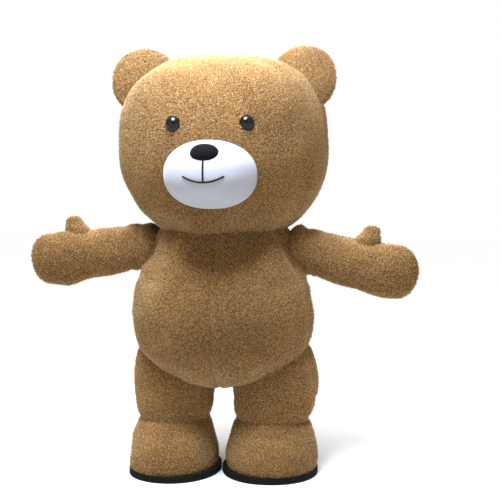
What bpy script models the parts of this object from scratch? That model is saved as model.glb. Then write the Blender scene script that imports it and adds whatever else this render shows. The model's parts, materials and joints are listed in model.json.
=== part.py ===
# Bear mascot costume: a hollow plush suit with its head, mittens and boots, in its worn pose.
# Metres, +Z up, the bear faces -Y. Heights in the tables are above the floor, and the parent
# empty lowers the whole costume so that the origin lies between the wearer's shoulders.
# Left and right are the wearer's, so left is +X.

from collections import namedtuple
from math import cos, exp, pi, radians, sin

import bmesh
import bpy
from mathutils import Matrix, Vector

# Driving sizes
SHOULDER_HEIGHT = 1.18
SUIT_WALL = 0.012
HEAD_WALL = 0.020
SEAM_GAP = 0.0003
GAP = 0.0003
MERGE_DISTANCE = 1e-6
SHARP_EDGE = radians(50)

# Rings are superellipses: a power of 2 is an ellipse, and a larger one is squarer
BODY_POWER = 2.2
SLEEVE_POWER = 2.1
LEG_POWER = 2.15
BOOT_POWER = 2.08
EAR_POWER = 2.15
FACE_POWER = 2.2
ROUND_POWER = 2

# How many points go round a ring
HEAD_COLUMNS = 36
BODY_COLUMNS = 36
SLEEVE_COLUMNS = 20
THUMB_COLUMNS = 12
LEG_COLUMNS = 24
BOOT_COLUMNS = 24
EAR_COLUMNS = 24
MUZZLE_COLUMNS = 28
NOSE_COLUMNS = 16
EYE_COLUMNS = 14
CORD_COLUMNS = 6

# The head, a wide rounded block of foam under plush
HEAD_CENTRE = Vector((0, 0.01, 1.50))
HEAD_HALF_WIDTH = 0.488
HEAD_HALF_DEPTH = 0.430
HEAD_RISE = 0.426
HEAD_FALL = 0.462
HEAD_TOP_POWER = 2.7
HEAD_BOTTOM_POWER = 2.06
HEAD_PLAN_POWER = 2.3
HEAD_RINGS = 8

# The ears, stuffed discs
EAR_CENTRE = Vector((0.373, -0.015, 1.816))
EAR_RADIUS = 0.163
EAR_HALF_THICKNESS = 0.055
EAR_TURN = radians(6)
EAR_LEAN = radians(-8)
EAR_RINGS = 6

# The face: a smooth padded muzzle, a nose, two eyes and a sewn mouth
MUZZLE_CENTRE = Vector((0, -0.345, 1.370))
MUZZLE_HALF = Vector((0.205, 0.215, 0.150))
MUZZLE_RINGS = 6
NOSE_CENTRE = Vector((0, -0.512, 1.448))
NOSE_HALF = Vector((0.062, 0.048, 0.044))
NOSE_RINGS = 4
EYE_CENTRE = Vector((0.158, -0.387, 1.585))
EYE_HALF = Vector((0.035, 0.033, 0.036))
EYE_RINGS = 4
MOUTH_THICKNESS = 0.008
MOUTH_SUNK = 0.2
UPRIGHT_TOP = 1.430
SMILE_MIDDLE = 1.330
SMILE_HALF_WIDTH = 0.088
SMILE_RISE = 0.026
SMILE_STEPS = 12
UPRIGHT_STEPS = 6

# The body above its widest place, from the neck opening down
BodyRow = namedtuple("BodyRow", "height half_width half_depth centre_y")
BODY_ROWS = [
    BodyRow(1.220, 0.205, 0.168, 0.020),
    BodyRow(1.165, 0.268, 0.208, 0.015),
    BodyRow(1.095, 0.326, 0.248, 0.008),
    BodyRow(1.000, 0.362, 0.284, 0.000),
    BodyRow(0.920, 0.390, 0.320, -0.008),
    BodyRow(0.830, 0.416, 0.345, -0.015),
    BodyRow(0.742, 0.427, 0.354, -0.020),
]
BODY_STEPS = 2
# Below that the belly rounds in to the crotch
BELLY_FALL = 0.354
BELLY_POWER = 2.35
BELLY_RINGS = 7

# Soft folds of the chest: where each lies on the front, how far it spreads, and how deep it is
Fold = namedtuple("Fold", "x height half_width half_height depth")
CHEST_FOLDS = [
    Fold(-0.045, 1.045, 0.085, 0.090, 0.024),
    Fold(-0.215, 1.010, 0.050, 0.110, -0.014),
    Fold(-0.318, 0.990, 0.042, 0.120, 0.016),
    Fold(0.165, 1.060, 0.060, 0.070, 0.012),
    Fold(0.312, 0.975, 0.044, 0.120, 0.016),
]
# The folds fade in over this much of the front, from the sides forward
FOLD_FADE = 0.1

# The sleeves run outward and droop a little, the left one more
SleeveRow = namedtuple("SleeveRow", "out right_height left_height y half_height half_depth")
SLEEVE_ROWS = [
    SleeveRow(0.200, 1.005, 1.000, 0.010, 0.080, 0.100),
    SleeveRow(0.280, 1.016, 1.008, 0.010, 0.088, 0.110),
    SleeveRow(0.350, 1.034, 1.026, 0.010, 0.120, 0.122),
    SleeveRow(0.440, 1.032, 1.008, 0.004, 0.118, 0.120),
    SleeveRow(0.540, 1.018, 0.984, -0.012, 0.118, 0.117),
    SleeveRow(0.640, 1.001, 0.959, -0.038, 0.122, 0.115),
    SleeveRow(0.740, 0.985, 0.938, -0.066, 0.131, 0.110),
    SleeveRow(0.806, 0.983, 0.936, -0.083, 0.124, 0.100),
]
MITTEN_TIP = 0.094
TIP_FORWARD = 0.28
TIP_RISE = 0.10
TIP_RINGS = 4

# The thumbs stand on top of the mittens
ThumbRow = namedtuple("ThumbRow", "rise radius shift")
THUMB_OUT = {"left": 0.672, "right": 0.692}
THUMB_ROWS = [
    ThumbRow(-0.060, 0.068, -0.004),
    ThumbRow(0.000, 0.064, 0.000),
    ThumbRow(0.028, 0.050, 0.010),
    ThumbRow(0.046, 0.041, 0.018),
]
THUMB_TIP = 0.024
THUMB_TIP_RINGS = 3
THUMB_DEPTH_SHARE = 0.92
THUMB_SEARCH_STEPS = 8

# The legs, from inside the belly down to the ankle seam
LegRow = namedtuple("LegRow", "height inner right_outer left_outer half_depth centre_y")
ANKLE_HEIGHT = 0.240
LEG_ROWS = [
    LegRow(0.600, 0.062, 0.388, 0.392, 0.160, 0.010),
    LegRow(0.540, 0.052, 0.414, 0.426, 0.186, 0.006),
    LegRow(0.470, 0.045, 0.427, 0.444, 0.198, 0.002),
    LegRow(0.400, 0.044, 0.430, 0.447, 0.198, 0.000),
    LegRow(0.320, 0.047, 0.424, 0.436, 0.192, -0.004),
    LegRow(ANKLE_HEIGHT, 0.062, 0.403, 0.406, 0.176, -0.010),
]

# The boots, from the ankle seam down to the sole, turned out a little
BootRow = namedtuple("BootRow", "height inner right_outer left_outer half_length centre_y")
SOLE_THICKNESS = 0.030
BOOT_TURN = radians(8)
BOOT_ROWS = [
    BootRow(ANKLE_HEIGHT, 0.062, 0.403, 0.406, 0.176, -0.010),
    BootRow(0.205, 0.050, 0.410, 0.421, 0.196, -0.020),
    BootRow(0.160, 0.034, 0.420, 0.436, 0.222, -0.036),
    BootRow(0.110, 0.021, 0.423, 0.446, 0.240, -0.048),
    BootRow(0.065, 0.017, 0.425, 0.449, 0.248, -0.054),
    BootRow(SOLE_THICKNESS, 0.022, 0.420, 0.444, 0.245, -0.056),
]
# The right boot stands a little further forward
BOOT_FORWARD = {"left": 0.000, "right": 0.036}
SOLE_INNER = 0.004
SOLE_MARGIN = 0.003
SOLE_BEVEL = 0.004


def clear_scene():
    for thing in list(bpy.data.objects):
        bpy.data.objects.remove(thing)


def finish(name, colour, roughness):
    material = bpy.data.materials.new(name)
    material.use_nodes = True
    shader = material.node_tree.nodes["Principled BSDF"]
    shader.inputs["Base Color"].default_value = (*colour, 1)
    shader.inputs["Roughness"].default_value = roughness
    shader.inputs["Metallic"].default_value = 0
    material.diffuse_color = (*colour, 1)
    return material


def signed_power(value, power):
    return abs(value) ** power * (1 if value >= 0 else -1)


def superellipse(count, power):
    """Points (cosine side, sine side) round a superellipse of half size 1."""
    turns = [2 * pi * k / count for k in range(count)]
    return [(signed_power(cos(a), 2 / power), signed_power(sin(a), 2 / power)) for a in turns]


def flat_ring(height, centre_x, centre_y, half_width, half_depth, count, power, turn=0.0):
    """A level ring that starts at its +X side and goes round by way of +Y."""
    ring = []
    for c, s in superellipse(count, power):
        across, along = half_width * c, half_depth * s
        x = centre_x + across * cos(turn) - along * sin(turn)
        y = centre_y + across * sin(turn) + along * cos(turn)
        ring.append(Vector((x, y, height)))
    return ring


def smooth_rows(rows, steps):
    """The rows with steps - 1 more between each two, on one smooth curve through them all."""
    kind = type(rows[0])
    found = []
    for n in range(len(rows) - 1):
        before = rows[max(n - 1, 0)]
        after = rows[min(n + 2, len(rows) - 1)]
        for k in range(steps):
            t = k / steps
            values = []
            for p0, p1, p2, p3 in zip(before, rows[n], rows[n + 1], after):
                bend = (p2 - p0) * t + (2 * p0 - 5 * p1 + 4 * p2 - p3) * t**2
                values.append(p1 + 0.5 * (bend + (3 * p1 - p0 - 3 * p2 + p3) * t**3))
            found.append(kind(*values))
    return found + [rows[-1]]


def is_pole(ring):
    return (ring[0] - ring[len(ring) // 2]).length < MERGE_DISTANCE


def middle(ring):
    return sum(ring, Vector()) / len(ring)


def moved_out(rings, distance):
    """The same rings moved square to their surface, out or, where distance is negative, in."""
    count = len(rings[0])
    last = len(rings) - 1
    moved = []
    for i, ring in enumerate(rings):
        above, below = rings[max(i - 1, 0)], rings[min(i + 1, last)]
        axis = (middle(above) - middle(below)).normalized()
        if is_pole(ring):
            away = axis if i == 0 else -axis
            moved.append([point + away * distance for point in ring])
            continue
        new_ring = []
        for j, point in enumerate(ring):
            round_it = ring[(j + 1) % count] - ring[j - 1]
            along_it = above[j] - below[j]
            normal = round_it.cross(along_it)
            if i in (0, last):
                plane = (ring[1] - ring[0]).cross(ring[count // 3] - ring[0]).normalized()
                normal -= plane * normal.dot(plane)
            if normal.dot(point - middle(ring)) < 0:
                normal.negate()
            new_ring.append(point + normal.normalized() * distance)
        moved.append(new_ring)
    return moved


def make_object(name, points, faces, material, parent):
    """One closed body from points and faces, facing out and shaded smooth."""
    shape = bmesh.new()
    corners = [shape.verts.new(point) for point in points]
    for face in faces:
        # a quad is split on its first corner everywhere, so that facets stay parallel to their cutters
        halves = [face[:3], (face[0], *face[2:])] if len(face) == 4 else [face]
        for half in halves:
            shape.faces.new([corners[k] for k in half])
    bmesh.ops.remove_doubles(shape, verts=shape.verts, dist=MERGE_DISTANCE)
    bmesh.ops.dissolve_degenerate(shape, edges=shape.edges, dist=MERGE_DISTANCE)
    bmesh.ops.recalc_face_normals(shape, faces=shape.faces)
    mesh = bpy.data.meshes.new(name)
    shape.to_mesh(mesh)
    shape.free()
    mesh.shade_smooth()
    mesh.set_sharp_from_angle(angle=SHARP_EDGE)
    mesh.materials.append(material)
    thing = bpy.data.objects.new(name, mesh)
    bpy.context.collection.objects.link(thing)
    thing.parent = parent
    return thing


def solid(name, rings, material, parent):
    """A filled body inside the rings, with a flat cap where an end isn't a pole."""
    count = len(rings[0])
    points = [point for ring in rings for point in ring]
    faces = []
    for i in range(len(rings) - 1):
        for j in range(count):
            k = (j + 1) % count
            faces.append((i * count + j, i * count + k, (i + 1) * count + k, (i + 1) * count + j))
    if not is_pole(rings[0]):
        faces.append(tuple(range(count)))
    if not is_pole(rings[-1]):
        first = (len(rings) - 1) * count
        faces.append(tuple(range(first + count - 1, first - 1, -1)))
    return make_object(name, points, faces, material, parent)


def cutter(name, rings, material, parent):
    thing = solid(name, rings, material, parent)
    thing.hide_render = True
    thing.display_type = "WIRE"
    return thing


def cut(target, *tools):
    for tool in tools:
        step = target.modifiers.new(f"cut by {tool.name}", "BOOLEAN")
        step.operation = "DIFFERENCE"
        step.solver = "EXACT"
        step.object = tool


def tube(name, outer, wall, material, parent):
    """A sleeve of cloth all the way round, open at each end that isn't a pole."""
    inner = moved_out(outer, -wall)
    count, rows = len(outer[0]), len(outer)
    points = [point for ring in outer + inner for point in ring]
    deep = rows * count
    faces = []
    for i in range(rows - 1):
        for j in range(count):
            k = (j + 1) % count
            face = (i * count + j, i * count + k, (i + 1) * count + k, (i + 1) * count + j)
            faces.append(face)
            faces.append(tuple(deep + n for n in face))
    for i in (0, rows - 1):
        if is_pole(outer[i]):
            continue
        for j in range(count):
            k = (j + 1) % count
            faces.append((i * count + j, i * count + k, deep + i * count + k, deep + i * count + j))
    return make_object(name, points, faces, material, parent)


def panel(name, outer, wall, first, last, material, parent):
    """One cut piece of cloth, from column first to column last, drawn back half a seam gap."""
    inner = moved_out(outer, -wall)
    count = len(outer[0])
    columns = [k % count for k in range(first, last + 1)]
    width = len(columns)
    points = []
    for rings in (outer, inner):
        for i, ring in enumerate(rings):
            row = [ring[k].copy() for k in columns]
            if is_pole(ring):
                beside = rings[i + 1] if i == 0 else rings[i - 1]
                towards = beside[columns[width // 2]] - middle(beside)
                row = [point + towards.normalized() * SEAM_GAP for point in row]
            else:
                row[0] += (row[1] - row[0]).normalized() * SEAM_GAP / 2
                row[-1] += (row[-2] - row[-1]).normalized() * SEAM_GAP / 2
            points += row
    deep = len(outer) * width
    faces = []
    for i in range(len(outer) - 1):
        for j in range(width - 1):
            face = (i * width + j, i * width + j + 1, (i + 1) * width + j + 1, (i + 1) * width + j)
            faces.append(face)
            faces.append(tuple(deep + n for n in face))
        for j in (0, width - 1):
            a, b = i * width + j, (i + 1) * width + j
            faces.append((a, b, deep + b, deep + a))
    for i in (0, len(outer) - 1):
        if is_pole(outer[i]):
            continue
        for j in range(width - 1):
            a = i * width + j
            faces.append((a, a + 1, deep + a + 1, deep + a))
    return make_object(name, points, faces, material, parent)


def round_block(centre, half, rise, fall, powers, plan_power, columns, rings):
    """Level rings of a rounded block from its top pole to its bottom pole."""
    found = []
    for k in range(rings, -rings - 1, -1):
        angle = pi / 2 * abs(k) / rings
        height, power = (rise, powers[0]) if k > 0 else (-fall, powers[1])
        size = cos(angle) ** (2 / power) if abs(k) < rings else 0
        level = centre.z + height * sin(angle) ** (2 / power)
        found.append(flat_ring(level, centre.x, centre.y, half.x * size, half.y * size,
                               columns, plan_power))
    return found


def head_rings():
    half = Vector((HEAD_HALF_WIDTH, HEAD_HALF_DEPTH, 0))
    powers = (HEAD_TOP_POWER, HEAD_BOTTOM_POWER)
    return round_block(HEAD_CENTRE, half, HEAD_RISE, HEAD_FALL, powers,
                       HEAD_PLAN_POWER, HEAD_COLUMNS, HEAD_RINGS)


def pad_rings(centre, half, columns, rings, power=FACE_POWER):
    return round_block(centre, half, half.z, half.z, (power, power), power, columns, rings)


def fold_depth(point):
    """How far the chest's folds draw the front in at a point, or raise it where negative."""
    depth = 0
    for fold in CHEST_FOLDS:
        spread = ((point.x - fold.x) / fold.half_width) ** 2
        spread += ((point.z - fold.height) / fold.half_height) ** 2
        depth += fold.depth * exp(-spread)
    return depth


def body_rings():
    rows = smooth_rows(BODY_ROWS, BODY_STEPS)
    rings = []
    for row in rows:
        rings.append(flat_ring(row.height, 0, row.centre_y, row.half_width, row.half_depth,
                               BODY_COLUMNS, BODY_POWER))
    widest = BODY_ROWS[-1]
    for k in range(1, BELLY_RINGS + 1):
        angle = pi / 2 * k / BELLY_RINGS
        size = max(cos(angle), 0) ** (2 / BELLY_POWER) if k < BELLY_RINGS else 0
        level = widest.height - BELLY_FALL * sin(angle) ** (2 / BELLY_POWER)
        rings.append(flat_ring(level, 0, widest.centre_y, widest.half_width * size,
                               widest.half_depth * size, BODY_COLUMNS, BODY_POWER))
    for ring in rings:
        for point in ring:
            if point.y < 0:
                point.y += fold_depth(point) * min(1, -point.y / FOLD_FADE)
    return rings


def sleeve_rings(side):
    """Upright rings from inside the body out to the mitten's tip."""
    sections = []
    for row in SLEEVE_ROWS:
        height = row.left_height if side > 0 else row.right_height
        sections.append((row.out, row.y, height, row.half_height, row.half_depth))
    out, y, height, half_height, half_depth = sections[-1]
    for k in range(1, TIP_RINGS + 1):
        angle = pi / 2 * k / TIP_RINGS
        size = cos(angle) if k < TIP_RINGS else 0
        reach = MITTEN_TIP * sin(angle)
        sections.append((out + reach, y - reach * TIP_FORWARD, height + reach * TIP_RISE,
                         half_height * size, half_depth * size))
    rings = []
    for out, y, height, half_height, half_depth in sections:
        ring = []
        for c, s in superellipse(SLEEVE_COLUMNS, SLEEVE_POWER):
            ring.append(Vector((side * out, y + half_depth * s, height + half_height * c)))
        rings.append(ring)
    return rings


def thumb_rings(word, side):
    """Level rings from inside the mitten up to the thumb's tip."""
    out = THUMB_OUT[word]
    row = min(smooth_rows(SLEEVE_ROWS, THUMB_SEARCH_STEPS), key=lambda found: abs(found.out - out))
    top = row.half_height + (row.left_height if side > 0 else row.right_height)
    sections = [(rise, radius, shift) for rise, radius, shift in THUMB_ROWS]
    rise, radius, shift = sections[-1]
    for k in range(1, THUMB_TIP_RINGS + 1):
        angle = pi / 2 * k / THUMB_TIP_RINGS
        size = cos(angle) if k < THUMB_TIP_RINGS else 0
        sections.append((rise + THUMB_TIP * sin(angle), radius * size, shift))
    return [flat_ring(top + rise, side * (out + shift), row.y, radius,
                      radius * THUMB_DEPTH_SHARE, THUMB_COLUMNS, ROUND_POWER)
            for rise, radius, shift in sections]


def side_sizes(row, side):
    """The middle and the half width of a leg's or boot's row on one side."""
    outer = row.left_outer if side > 0 else row.right_outer
    return side * (row.inner + outer) / 2, (outer - row.inner) / 2


def leg_rings(side, lowest):
    rings = []
    for row in LEG_ROWS:
        centre_x, half_width = side_sizes(row, side)
        rings.append(flat_ring(max(row.height, lowest), centre_x, row.centre_y, half_width,
                               row.half_depth, LEG_COLUMNS, LEG_POWER))
    return rings


def boot_ring(row, word, side, level, inner_margin=0.0, margin=0.0):
    """One level ring of a boot, turned out and moved forward more the lower it lies."""
    centre_x, half_width = side_sizes(row, side)
    share = (ANKLE_HEIGHT - row.height) / (ANKLE_HEIGHT - SOLE_THICKNESS)
    centre_x += side * (margin - inner_margin) / 2
    return flat_ring(level, centre_x, row.centre_y - BOOT_FORWARD[word] * share,
                     half_width + (margin + inner_margin) / 2, row.half_length + margin,
                     BOOT_COLUMNS, BOOT_POWER, side * BOOT_TURN * share)


def boot_rings(word, side, bottom, top):
    return [boot_ring(row, word, side, min(max(row.height, bottom), top)) for row in BOOT_ROWS]


def sole_rings(word, side):
    row = BOOT_ROWS[-1]
    inner = row.inner - SOLE_INNER
    levels = ((SOLE_THICKNESS, 0), (SOLE_BEVEL, 0), (0, SOLE_BEVEL))
    return [boot_ring(row, word, side, level, inner - less, SOLE_MARGIN - less)
            for level, less in levels]


def ear_rings(side):
    """A stuffed disc, leaned back and turned to follow the head."""
    half = Vector((EAR_RADIUS, EAR_HALF_THICKNESS, EAR_RADIUS))
    rings = pad_rings(Vector(), half, EAR_COLUMNS, EAR_RINGS, EAR_POWER)
    place = Matrix.Rotation(-side * EAR_TURN, 3, "Z") @ Matrix.Rotation(EAR_LEAN, 3, "X")
    centre = Vector((side * EAR_CENTRE.x, EAR_CENTRE.y, EAR_CENTRE.z))
    return [[place @ point + centre for point in ring] for ring in rings]


def muzzle_front(x, z):
    """The muzzle's front surface at a place on the face."""
    share = (abs(x) / MUZZLE_HALF.x) ** FACE_POWER
    share += (abs(z - MUZZLE_CENTRE.z) / MUZZLE_HALF.z) ** FACE_POWER
    return MUZZLE_CENTRE.y - MUZZLE_HALF.y * (1 - min(share, 1)) ** (1 / FACE_POWER)


def strip_rings(path):
    """Rings of a thin cord along a path on the muzzle, sunk a little so that its back is cut to fit."""
    out = MOUTH_THICKNESS * (0.5 - MOUTH_SUNK)
    points = [Vector((x, muzzle_front(x, z) - out, z)) for x, z in path]
    rings = []
    for n, point in enumerate(points):
        ahead = points[min(n + 1, len(points) - 1)] - points[max(n - 1, 0)]
        side = ahead.cross(Vector((0, 1, 0))).normalized()
        out = side.cross(ahead).normalized()
        ring = []
        for c, s in superellipse(CORD_COLUMNS, ROUND_POWER):
            ring.append(point + (side * c + out * s) * MOUTH_THICKNESS / 2)
        rings.append(ring)
    return rings


def build():
    clear_scene()
    garment = bpy.data.objects.new("garment", None)
    bpy.context.collection.objects.link(garment)
    garment.location = (0, 0, -SHOULDER_HEIGHT)

    plush = finish("tan curly plush", (0.42, 0.22, 0.09), 0.9)
    pale = finish("off-white short plush", (0.80, 0.77, 0.72), 0.85)
    felt = finish("black felt", (0.012, 0.011, 0.011), 0.8)
    glossy = finish("black glossy plastic", (0.01, 0.009, 0.008), 0.08)
    rubber = finish("black rubber", (0.02, 0.02, 0.021), 0.6)

    head, body = head_rings(), body_rings()
    head_clear = cutter("head clearance", moved_out(head, GAP), plush, garment)
    body_clear = cutter("body clearance", moved_out(body, GAP), plush, garment)

    # The head sits round the body's neck
    half_turn = HEAD_COLUMNS // 2
    head_back = panel("head_back", head, HEAD_WALL, 0, half_turn, plush, garment)
    head_front = panel("head_front", head, HEAD_WALL, half_turn, HEAD_COLUMNS, plush, garment)
    cut(head_back, body_clear)
    cut(head_front, body_clear)

    muzzle_shape = pad_rings(MUZZLE_CENTRE, MUZZLE_HALF, MUZZLE_COLUMNS, MUZZLE_RINGS)
    muzzle = solid("muzzle", muzzle_shape, pale, garment)
    cut(muzzle, head_clear)
    muzzle_clear = cutter("muzzle clearance", moved_out(muzzle_shape, GAP), pale, garment)
    nose_shape = pad_rings(NOSE_CENTRE, NOSE_HALF, NOSE_COLUMNS, NOSE_RINGS)
    nose = solid("nose", nose_shape, felt, garment)
    cut(nose, muzzle_clear)
    nose_clear = cutter("nose clearance", moved_out(nose_shape, GAP), felt, garment)

    # Body panels meet at the centre front, the centre back and the sides
    quarter = BODY_COLUMNS // 4
    body_panels = []
    for number, name in enumerate(("back_left", "back_right", "front_right", "front_left")):
        body_panels.append(panel(f"body_{name}", body, SUIT_WALL, number * quarter,
                                 (number + 1) * quarter, plush, garment))

    for word, side in (("left", 1), ("right", -1)):
        ear = solid(f"ear_{word}", ear_rings(side), plush, garment)
        cut(ear, head_clear)
        eye_centre = Vector((side * EYE_CENTRE.x, EYE_CENTRE.y, EYE_CENTRE.z))
        eye_shape = pad_rings(eye_centre, EYE_HALF, EYE_COLUMNS, EYE_RINGS, ROUND_POWER)
        eye = solid(f"eye_{word}", eye_shape, glossy, garment)
        cut(eye, head_clear)

        sleeve = sleeve_rings(side)
        hollow = cutter(f"sleeve hollow {word}", moved_out(sleeve, -SUIT_WALL), plush, garment)
        sleeve_clear = cutter(f"sleeve clearance {word}", moved_out(sleeve, GAP), plush, garment)
        thumb_shape = thumb_rings(word, side)
        thumb_hollow = cutter(f"thumb hollow {word}", moved_out(thumb_shape, -SUIT_WALL),
                              plush, garment)
        over = SLEEVE_COLUMNS // 2
        for place, first in (("back", 0), ("front", over)):
            cloth = panel(f"sleeve_{word}_{place}", sleeve, SUIT_WALL, first, first + over,
                          plush, garment)
            cut(cloth, body_clear, thumb_hollow)
        thumb = tube(f"thumb_{word}", thumb_shape, SUIT_WALL, plush, garment)
        cut(thumb, sleeve_clear)

        leg = leg_rings(side, ANKLE_HEIGHT + SEAM_GAP / 2)
        leg_hollow = cutter(f"leg hollow {word}", moved_out(leg, -SUIT_WALL), plush, garment)
        leg_cloth = tube(f"leg_{word}", leg, SUIT_WALL, plush, garment)
        cut(leg_cloth, body_clear)

        boot = boot_rings(word, side, SOLE_THICKNESS + GAP, ANKLE_HEIGHT - SEAM_GAP / 2)
        tube(f"boot_{word}", boot, SUIT_WALL, plush, garment)
        solid(f"sole_{word}", sole_rings(word, side), rubber, garment)

        for cloth in body_panels:
            if word in cloth.name:
                cut(cloth, hollow, leg_hollow)

    # The mouth is a sewn cord: a short upright line under the nose, and a smile
    smile = []
    for k in range(SMILE_STEPS + 1):
        x = SMILE_HALF_WIDTH * (2 * k / SMILE_STEPS - 1)
        smile.append((x, SMILE_MIDDLE + SMILE_RISE * (x / SMILE_HALF_WIDTH) ** 2))
    cut(solid("mouth_smile", strip_rings(smile), felt, garment), muzzle_clear)
    lowest = SMILE_MIDDLE + MOUTH_THICKNESS / 2 + GAP
    rise = (UPRIGHT_TOP - lowest) / UPRIGHT_STEPS
    upright = [(0, UPRIGHT_TOP - rise * k) for k in range(UPRIGHT_STEPS + 1)]
    cut(solid("mouth_upright", strip_rings(upright), felt, garment), muzzle_clear, nose_clear)


build()
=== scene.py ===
import json
from collections import namedtuple
from math import cos, pi, radians, sin

import bmesh
import bpy
import numpy as np
from mathutils import Euler, Matrix, Vector

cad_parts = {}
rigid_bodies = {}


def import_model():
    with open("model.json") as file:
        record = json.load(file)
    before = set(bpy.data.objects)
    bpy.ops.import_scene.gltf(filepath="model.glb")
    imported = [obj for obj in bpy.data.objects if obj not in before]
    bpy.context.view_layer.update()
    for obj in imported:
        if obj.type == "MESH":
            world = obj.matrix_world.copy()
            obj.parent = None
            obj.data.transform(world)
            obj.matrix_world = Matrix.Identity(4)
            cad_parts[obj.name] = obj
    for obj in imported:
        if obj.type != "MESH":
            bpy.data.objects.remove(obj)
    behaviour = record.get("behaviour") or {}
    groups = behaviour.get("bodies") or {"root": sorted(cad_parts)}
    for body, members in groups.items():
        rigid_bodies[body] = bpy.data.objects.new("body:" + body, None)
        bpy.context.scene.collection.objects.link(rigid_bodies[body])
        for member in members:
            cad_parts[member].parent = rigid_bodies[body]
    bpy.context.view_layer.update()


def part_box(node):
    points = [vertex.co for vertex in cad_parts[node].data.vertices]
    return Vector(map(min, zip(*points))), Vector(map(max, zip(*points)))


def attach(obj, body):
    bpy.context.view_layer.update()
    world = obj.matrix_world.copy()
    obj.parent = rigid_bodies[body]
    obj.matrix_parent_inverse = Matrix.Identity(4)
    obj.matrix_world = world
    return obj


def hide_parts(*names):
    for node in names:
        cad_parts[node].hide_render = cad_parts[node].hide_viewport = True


# A hollow bear mascot costume in curly tan plush. Metres, +Z up, the bear faces -Y, and left is
# the wearer's left, +X. Heights in the tables are above the floor. Each shape's outside is where
# the tips of the plush are, as in the frame, and its cloth lies one pile height further in.

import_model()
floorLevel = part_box("sole_left")[0].z

sides = (("left", 1), ("right", -1))

suit = {
    "pileHeight": 0.009,
    "clothWall": 0.012,  # from the tips of the plush to the inside of the cloth
    "headWall": 0.020,  # the head has foam behind its plush
    "seamGap": 0.0003,
    "seamTuck": 0.008,  # how deep the sewing draws the cloth in
    "seamWidth": 0.010,
    "sharpEdge": radians(50),
    "merge": 1e-6,
}

# Which two axes a crease is drawn on, and which way the cloth there faces
facings = {
    "front": (0, 2, (0, -1, 0)),
    "back": (0, 2, (0, 1, 0)),
    "left": (1, 2, (1, 0, 0)),
    "right": (1, 2, (-1, 0, 0)),
    "top": (0, 1, (0, 0, 1)),
    "under": (0, 1, (0, 0, -1)),
}
crease = namedtuple("crease", "facing startAcross startUp endAcross endUp width depth")
creaseEnds = 0.35  # how deep a crease still is at its ends
creaseFacing = 2  # how fast a crease comes in where the cloth turns to its facing
softness = {"seed": 5, "lengths": (0.11, 0.14, 0.17, 0.21, 0.26, 0.33), "depth": 0.010, "fade": 0.08}

roundPower = 2  # the power of a plain ellipse: a larger one is squarer
fineSteps = 16  # how much finer than its points an outline is worked out
noiseRange = (0.3, 0.7)  # where most of a noise's values lie


# Node helpers

def addNode(tree, kind, settings=None, values=None):
    node = tree.nodes.new(kind)
    for name, value in (settings or {}).items():
        setattr(node, name, value)
    for name, value in (values or {}).items():
        node.inputs[name].default_value = value
    return node


def noiseNode(tree, place, scale, detail=2.0, distortion=0.0):
    values = {"Scale": scale, "Detail": detail, "Distortion": distortion}
    noise = addNode(tree, "ShaderNodeTexNoise", None, values)
    tree.links.new(place.outputs["Object"], noise.inputs["Vector"])
    return noise.outputs["Fac"]


def rangeNode(tree, source, low, high, fromLow=0.0, fromHigh=1.0):
    values = {"From Min": fromLow, "From Max": fromHigh, "To Min": low, "To Max": high}
    node = addNode(tree, "ShaderNodeMapRange", None, values)
    tree.links.new(source, node.inputs["Value"])
    return node.outputs["Result"]


def rampNode(tree, source, stops):
    node = addNode(tree, "ShaderNodeValToRGB")
    ramp = node.color_ramp
    while len(ramp.elements) < len(stops):
        ramp.elements.new(0.5)
    for element, (place, colour) in zip(ramp.elements, stops):
        element.position = place
        element.color = (*colour, 1)
    tree.links.new(source, node.inputs["Fac"])
    return node.outputs["Color"]


def shadeNode(tree, colour, amount):
    # a colour made lighter or darker by an amount round 1
    node = addNode(tree, "ShaderNodeVectorMath", {"operation": "SCALE"})
    tree.links.new(colour, node.inputs[0])
    tree.links.new(amount, node.inputs["Scale"])
    return node.outputs["Vector"]


def addBump(tree, shader, height, bump):
    strength, distance = bump
    node = addNode(tree, "ShaderNodeBump", None, {"Strength": strength, "Distance": distance})
    tree.links.new(height, node.inputs["Height"])
    tree.links.new(node.outputs["Normal"], shader.inputs["Normal"])


def startMaterial(name, shown):
    # a new material, with its shader's plain numbers set from a dictionary
    material = bpy.data.materials.new(name)
    material.use_nodes = True
    tree = material.node_tree
    shader = tree.nodes["Principled BSDF"]
    for socket, value in shown.items():
        shader.inputs[socket].default_value = value
    place = addNode(tree, "ShaderNodeTexCoord")
    return material, tree, shader, place


# The curly plush

curlyPlush = {
    # along each tuft the colour runs from its root to its tip: the dark root is painted shade deep in the
    # pile, and the pale tip is partly a painted highlight
    "root": (0.195, 0.090, 0.026),
    "middle": (0.310, 0.178, 0.064),
    "middleRise": 0.55,
    "tip": (0.570, 0.425, 0.240),
    "tuftShade": (0.84, 1.16),  # the darkest and the lightest tuft
    "patchScale": 4.0,
    "patchDetail": 3.0,
    "patchShade": (0.86, 1.12),
    "curlScale": 95.0,
    "curlDetail": 2.0,
    "curlTwist": 1.2,
    "curlRange": (0.32, 0.68),
    "curlShade": (0.82, 1.16),
    "strandScale": 480.0,
    "strandShade": (0.84, 1.14),
    "darkeningHeight": 0.16,  # the plush is darker towards the floor, below this height
    "darkestAtFloor": 0.80,
    "bump": (0.8, 0.0018),  # strength, then height
    "shader": {"Roughness": 0.92, "Specular IOR Level": 0.12, "Sheen Weight": 0.20,
               "Sheen Roughness": 0.45, "Sheen Tint": (1.0, 0.84, 0.62, 1),
               "Subsurface Weight": 0.5, "Subsurface Radius": (1.0, 0.6, 0.3),
               "Subsurface Scale": 0.006},
}


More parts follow.
